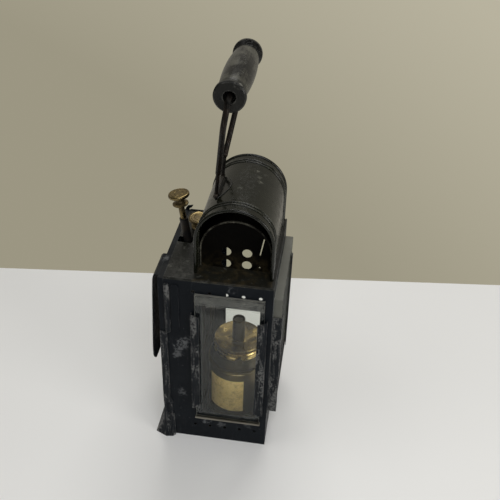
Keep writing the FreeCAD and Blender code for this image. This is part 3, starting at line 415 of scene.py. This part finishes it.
def old_glass(name, tint, across, haze=0.004, edge_grey=(0.12, 0.12, 0.105), band=None):
    """Thin old glass: it reflects and lets light straight through, with dust, and ground edges.
    across is the axis that the pane faces; band is a height range in mm that stays dirty."""
    mix = Recipe(name)
    clear = mix.add("ShaderNodeBsdfTransparent")
    mix.feed(clear.inputs["Color"], tint)
    ripple = mix.bump(mix.noise(scale=14, detail=2, rough=0.4), 0.05, 0.6 * MM)
    gloss = mix.add("ShaderNodeBsdfGlossy")
    gloss.inputs["Roughness"].default_value = 0.03
    mix.feed(gloss.inputs["Normal"], ripple)
    fresnel = mix.add("ShaderNodeFresnel")
    fresnel.inputs["IOR"].default_value = 1.5
    mix.feed(fresnel.inputs["Normal"], ripple)
    glare = mix.times(fresnel.outputs[0], PANE_GLARE)
    pane = mix.mix_shaders(glare, clear.outputs[0], gloss.outputs[0])
    dusty = mix.add("ShaderNodeBsdfDiffuse")
    mix.feed(dusty.inputs["Color"], (0.40, 0.40, 0.36))
    film = mix.spread(mix.noise(scale=26, detail=7, rough=0.7), 0.25, 0.8, 0.5 * haze, 1.6 * haze)
    specks = mix.spread(mix.noise(scale=420, detail=3, rough=0.6), 0.68, 0.76, 0.0, 6.0 * haze)
    dirt = mix.sum("MAXIMUM", film, specks)
    if band:
        dirt = mix.sum("MAXIMUM", dirt, mix.times(mix.band(Z, *band), flaking_grime(mix)))
    ground = mix.add("ShaderNodeBsdfPrincipled")
    ground.inputs["Roughness"].default_value = 0.35
    mix.feed(ground.inputs["Base Color"],
             mix.blend(mix.noise(scale=150, detail=5), edge_grey, scaled(edge_grey, 1.5)))
    facing = mix.sum("ABSOLUTE", mix.part(mix.normal(), across))
    rim = mix.spread(facing, 0.6, 0.8, 0.85, 0.0)
    pane = mix.mix_shaders(dirt, pane, dusty.outputs[0])
    mix.feed(mix.output.inputs["Surface"], mix.mix_shaders(rim, pane, ground.outputs[0]))
    return mix.material


def flaking_grime(mix):
    """Grime with clear chips in it and a thicker lip round each chip."""
    shard = mix.drawn_noise(60, 60, 190, detail=5, rough=0.65, distort=1.0)
    chipped = mix.spread(shard, 0.54, 0.56)
    lip = mix.times(mix.spread(shard, 0.515, 0.535), mix.sum("SUBTRACT", 1.0, chipped))
    grime = mix.spread(mix.drawn_noise(90, 90, 420, detail=7, rough=0.7, distort=0.6), 0.3, 0.7, 0.04, 0.15)
    grime = mix.sum("SUBTRACT", grime, mix.times(chipped, 0.15), clamp=True)
    return mix.sum("ADD", grime, mix.times(lip, 0.30), clamp=True)


def wick_cotton():
    mix = Recipe("wick_cotton")
    weave = mix.drawn_noise(1600, 1600, 1600, detail=3, rough=0.6)
    return mix.surface(Base_Color=mix.blend(weave, (0.10, 0.085, 0.06), (0.34, 0.30, 0.22)), Roughness=0.9,
                       Normal=mix.bump(weave, 0.8, 0.4 * MM))


def table_top():
    mix = Recipe("table_top")
    cloud = mix.noise(scale=3.0, detail=3, rough=0.5)
    return mix.surface(Base_Color=mix.blend(cloud, (0.76, 0.76, 0.75), (0.82, 0.82, 0.81)), Roughness=0.6)


# ---------------------------------------------------------------- small pieces that only show in the looks

def box_mm(name):
    """The low and the high corner of a CAD piece's box, in mm."""
    return [[value / MM for value in corner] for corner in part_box(name)]


def wavy_bead(name, path, radius, body, material, seed):
    """An uneven bead along points in mm, such as solder run into a seam; each ring has its own size."""
    random.seed(seed)
    sides = 8
    end_taper = 0.35
    points = [Vector(point) * MM for point in path]
    last = len(points) - 1
    build = bmesh.new()
    rings = []
    swell = 1.0
    for index, point in enumerate(points):
        ahead = points[min(index + 1, last)] - points[max(index - 1, 0)]
        ahead.normalize()
        across = ahead.cross(Vector((0.3, 0.2, 1.0))).normalized()
        up = across.cross(ahead)
        swell = 0.6 * swell + 0.4 * random.uniform(0.55, 1.35)
        reach = radius * MM * swell * (end_taper if index in (0, last) else 1.0)
        turns = [2 * math.pi * side / sides for side in range(sides)]
        rings.append([build.verts.new(point + reach * (math.cos(turn) * across + math.sin(turn) * up))
                      for turn in turns])
    for first, second in zip(rings, rings[1:]):
        for side in range(sides):
            after = (side + 1) % sides
            build.faces.new((first[side], first[after], second[after], second[side]))
    build.faces.new(list(reversed(rings[0])))
    build.faces.new(rings[-1])
    bmesh.ops.recalc_face_normals(build, faces=build.faces)
    mesh = bpy.data.meshes.new(name)
    build.to_mesh(mesh)
    build.free()
    for face in mesh.polygons:
        face.use_smooth = True
    mesh.materials.append(material)
    piece = bpy.data.objects.new(name, mesh)
    link(piece)
    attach(piece, body)


def straight(start, end, step):
    """Points from start to end, about a step apart, in mm."""
    start = Vector(start)
    end = Vector(end)
    count = max(2, round((end - start).length / step))
    return [start.lerp(end, index / count) for index in range(count + 1)]


def hood_seams(material):
    """Solder along both feet of the hood and both feet of the flue cap, where they stand on the roof."""
    bead_z = box_mm("hood_shell")[0][Z] + 0.2
    end_gap = 3
    for node, radius, inset in SEAMS:
        low, high = box_mm(node)
        for side, x in (("left", low[X] + inset), ("right", high[X] - inset)):
            path = straight((x, low[Y] + end_gap, bead_z), (x, high[Y] - end_gap, bead_z), step=1.6)
            wavy_bead(f"{node}_{side}_solder", path, radius, "casing", material,
                      seed=len(path))


def patch_seam(material):
    """Solder round the curved edge of the plate under the bail hinge, which is bent to the hood's round."""
    behind_hinge = 2.5  # mm of plate between the hinge's line and the plate's straight edge
    sheet = 0.6
    lift = 0.35  # mm from the hood's skin to the middle of the bead
    steps = 20  # from the middle of the edge to each end
    shell_low, shell_high = box_mm("hood_shell")
    patch_low, patch_high = box_mm("bail_patch")
    axis_x = (shell_low[X] + shell_high[X]) / 2
    radius = (shell_high[X] - shell_low[X]) / 2 - SWAGE_HEIGHT
    axis_z = shell_high[Z] - SWAGE_HEIGHT - radius
    skin = radius + sheet
    half = patch_high[Y]
    last = math.asin((patch_high[X] - axis_x) / skin)
    first = math.asin((patch_low[X] - axis_x) / skin) + math.asin(behind_hinge / skin)
    width = math.sin(last - first) * skin
    bow = (half ** 2 + width ** 2) / (2 * width)
    reach = math.asin(half / bow)
    path = []
    for index in range(2 * steps + 1):
        turn = reach * (index / steps - 1)
        out = bow * (math.cos(turn) - math.cos(reach))
        angle = first + math.asin(out / skin)
        path.append((axis_x + (radius + lift) * math.sin(angle), bow * math.sin(turn),
                     axis_z + (radius + lift) * math.cos(angle)))
    wavy_bead("bail_patch_solder", path, 0.65, "casing", material, seed=7)


def wick_fray(material):
    """Loose cotton ends along the top of the flat wick."""
    ends = 9
    margin = 1.2  # mm from each side of the wick to the nearest loose end
    low, high = box_mm("wick")
    top = high[Z]
    random.seed(11)
    for index in range(ends):
        x = low[X] + margin + index * (high[X] - low[X] - 2 * margin) / (ends - 1)
        y = random.uniform(-1.0, 1.0)
        lean = random.uniform(-0.5, 0.5)
        path = [(x, y, top - 1.0), (x + 0.3 * lean, y, top), (x + lean, y + 0.4 * lean, top + 0.9),
                (x + 1.6 * lean, y + lean, top + random.uniform(1.3, 2.0))]
        wavy_bead(f"wick_end_{index + 1}", path, 0.28, "wick_carrier", material,
                  seed=index + 20)


# ---------------------------------------------------------------- materials by part

def casing_paints():
    """The paints of the casing, its roof and what stands inside, with the pieces that wear them."""
    front_y = box_mm("casing_shell")[0][Y]
    left_x = box_mm("signal_casing")[0][X]
    hood_low, hood_high = box_mm("hood_shell")
    cap_front = box_mm("flue_cap")[0][Y]
    panel = worn_paint(
        "panel_paint", (0.0030, 0.0045, 0.0066), (0.0055, 0.0075, 0.0100), (0.14, 0.145, 0.15),
        wear=0.30, edge_wear_and_highlight=0.55, gloss=0.42, dust=0.04, streak=0.05, shine=0.09,
        scuffs=(((-34.5, front_y, 127), 10, 1.0), ((-38, front_y, 115), 7, 0.8),
                ((-30, front_y, 134), 7, 0.7), ((-36, front_y, 62), 6, 0.6),
                ((-12, front_y, 25), 6, 0.9), ((4, front_y, 24), 8, 0.6), ((30, front_y, 26), 5, 0.6),
                ((12, front_y, 201), 5, 0.5), ((left_x, -31.4, 203), 7, 1.0)))
    # full edge wear here paints the light line along the roof's front edge, partly a painted highlight
    roof = worn_paint(
        "roof_paint", (0.0050, 0.0055, 0.0042), (0.011, 0.0112, 0.0090), (0.13, 0.13, 0.115),
        wear=0.55, edge_wear_and_highlight=1.0, gloss=0.38, dust=0.03, streak=0.05, shine=0.18, relief=0.5,
        scuffs=(((-38, -38, 206), 15, 0.20), ((-33, -52, 206), 10, 0.20), ((-36, -44, 206), 5, 0.4)),
        rust=lambda mix: mix.band(X, hood_low[X], hood_high[X]))
    inner = worn_paint(
        "inner_paint", (0.0010, 0.0009, 0.0008), (0.0026, 0.0022, 0.0016), (0.06, 0.05, 0.035),
        wear=0.10, edge_wear_and_highlight=0.5, gloss=0.60, dust=0.0, streak=0.0, shine=0.03,
        rust=lambda mix: mix.spread(mix.part(mix.place, Z), 228 * MM, 206 * MM))
    # the lighter brown band along the cap's front rim is a painted highlight
    cap = worn_paint(
        "cap_paint", (0.0016, 0.0015, 0.0012), (0.0040, 0.0034, 0.0025), (0.10, 0.09, 0.07),
        wear=0.15, edge_wear_and_highlight=0.8, gloss=0.50, dust=0.0, streak=0.0, shine=0.06,
        rust=lambda mix: mix.band(Y, cap_front - 2, cap_front + 1.4),
        tones=((0.045, 0.043, 0.033), (0.130, 0.125, 0.098)))
    channel = worn_paint(
        "channel_paint", (0.0045, 0.0060, 0.0082), (0.0085, 0.0105, 0.0130), (0.185, 0.185, 0.178),
        wear=0.92, edge_wear_and_highlight=1.0, gloss=0.42, dust=0.04, streak=0.5, shine=0.12, drawn=0.35)
    # the pale tin of the front ledge is partly bare tin, partly a painted highlight: the pale strip under the
    # front pane
    tin = worn_paint(
        "bare_tin_and_highlight", (0.20, 0.185, 0.145), (0.12, 0.11, 0.085), (0.34, 0.33, 0.29),
        wear=0.6, edge_wear_and_highlight=0.7, gloss=0.40, dust=0.1, streak=0.0, shine=0.4)
    return {
        panel: ("casing_shell", "base_tray", "signal_casing", "corner_tab", "belt_hook", "rivets",
                "rear_catch", "rear_ledge", "side_ledge"),
        roof: ("roof_plate",),
        inner: ("partition", "slide_guide_front", "slide_guide_rear", "front_baffle", "rear_baffle"),
        cap: ("flue_cap",),
        channel: ("front_left_channel", "front_right_channel", "rear_left_channel", "rear_right_channel",
                  "side_front_channel", "side_rear_channel", "corner_strip", "corner_guide", "foot_skirt"),
        tin: ("front_ledge",),
    }


def hood_paints():
    """The glossier paint of the hood, with a painted highlight along the crests of its swages, and of the
    hinge patch.
    """
    low, high = box_mm("hood_shell")
    front_end = low[Y] + SWAGE_INSET
    back_end = high[Y] - SWAGE_INSET
    crests = (front_end, front_end + SWAGE_GAP, back_end - SWAGE_GAP, back_end)
    look = dict(wear=0.30, edge_wear_and_highlight=0.30, gloss=0.20, dust=0.01, streak=0.03, shine=0.30, relief=0.03)
    # the two light tones along the swage crests are a painted highlight: the light lines where the crests
    # catch the light
    hood = worn_paint(
        "hood_paint", (0.0028, 0.0034, 0.0014), (0.0064, 0.0072, 0.0034), (0.12, 0.12, 0.095),
        rust=lambda mix: mix.bands(Y, crests, 0.65), tones=((0.030, 0.031, 0.024), (0.078, 0.078, 0.062)),
        scuffs=(((21, 28.3, 275.2), 3.5, 1.0), ((27.5, 12, 272.7), 4, 0.8), ((25, 20, 274), 4, 0.6),
                ((10, -7, 276), 3, 0.5)), **look)
    patch = worn_paint("patch_paint", (0.0030, 0.0032, 0.0025), (0.0065, 0.0065, 0.0050),
                       (0.12, 0.12, 0.10), **look)
    return {hood: ("hood_shell", "hood_rims"), patch: ("bail_patch",)}


def metals():
    """Brass and steel. The numbers of a brass are its roughness, its tarnish and the tarnish's scale."""
    bright = aged_brass("handled_brass", (0.20, 0.15, 0.066), (0.055, 0.039, 0.019), 0.28, 0.75, 70)
    burner = aged_brass("burner_brass", (0.70, 0.52, 0.22), (0.16, 0.11, 0.05), 0.24, 0.35, 60)
    dish = aged_brass("dish_brass", (0.22, 0.158, 0.062), (0.045, 0.032, 0.016), 0.30, 1.0, 75)
    tank = aged_brass("tank_brass", (0.20, 0.155, 0.075), (0.050, 0.040, 0.024), 0.36, 0.6, 40)
    dark = aged_brass("dark_brass", (0.075, 0.060, 0.036), (0.022, 0.019, 0.014), 0.42, 0.6, 80)
    plate = aged_brass("plate_brass", (1.0, 0.73, 0.28), (0.46, 0.30, 0.10), 0.50, 0.6, 210, metallic=0.0)
    wire = browned_steel("bail_steel", (0.0055, 0.0052, 0.0045), (0.017, 0.0115, 0.0080))
    pin = browned_steel("pin_steel", (0.030, 0.030, 0.030), (0.050, 0.042, 0.034))
    return {
        bright: ("red_knob", "green_knob", "red_rod_tube", "green_rod_tube", "lens_ring"),
        burner: ("burner_ring",),
        dish: ("burner_dish",),
        tank: ("reservoir", "reservoir_seat"),
        dark: ("burner_collar", "wick_tube", "wick_knob", "wick_spindle", "red_slide_frame",
               "green_slide_frame"),
        plate: ("reservoir_plate",),
        wire: ("bail_wire", "bail_links"),
        pin: ("hinge_pin", "hinge_sleeve", "red_rod", "green_rod"),
    }


def glasses():
    head = box_mm("front_pane")[1][Z]
    pane = old_glass("pane_glass", (0.97, 0.98, 0.965), Y, band=(head - PANE_GRIME, head + 2))
    side = old_glass("side_glass", (0.95, 0.97, 0.955), X, edge_grey=(0.085, 0.085, 0.070))
    red = old_glass("ruby_glass", (0.55, 0.02, 0.01), X, haze=0.03, edge_grey=(0.2, 0.02, 0.02))
    green = old_glass("signal_green_glass", (0.03, 0.34, 0.14), X, haze=0.03, edge_grey=(0.02, 0.14, 0.06))
    return {
        pane: ("front_pane", "rear_pane"),
        side: ("side_pane", "signal_lens"),
        red: ("red_glass",),
        green: ("green_glass",),
    }


def dress():
    """Give each CAD piece its material, and add the small pieces."""
    cotton = wick_cotton()
    wearing = {**casing_paints(), **hood_paints(), **metals(), **glasses(),
               grip_wood(): ("bail_grip",), cotton: ("wick",)}
    for material, names in wearing.items():
        for name in names:
            slots = NODES[name].data.materials
            slots.clear()
            slots.append(material)
    solder = worn_paint("seam_solder", (0.006, 0.0065, 0.006), (0.016, 0.016, 0.014), (0.14, 0.14, 0.13),
                        wear=0.7, edge_wear_and_highlight=0.3, gloss=0.36, dust=0.02, streak=0.0, shine=0.3)
    hood_seams(solder)
    patch_seam(solder)
    wick_fray(cotton)


make_camera()
make_floor(table_top())
make_light()
dress()
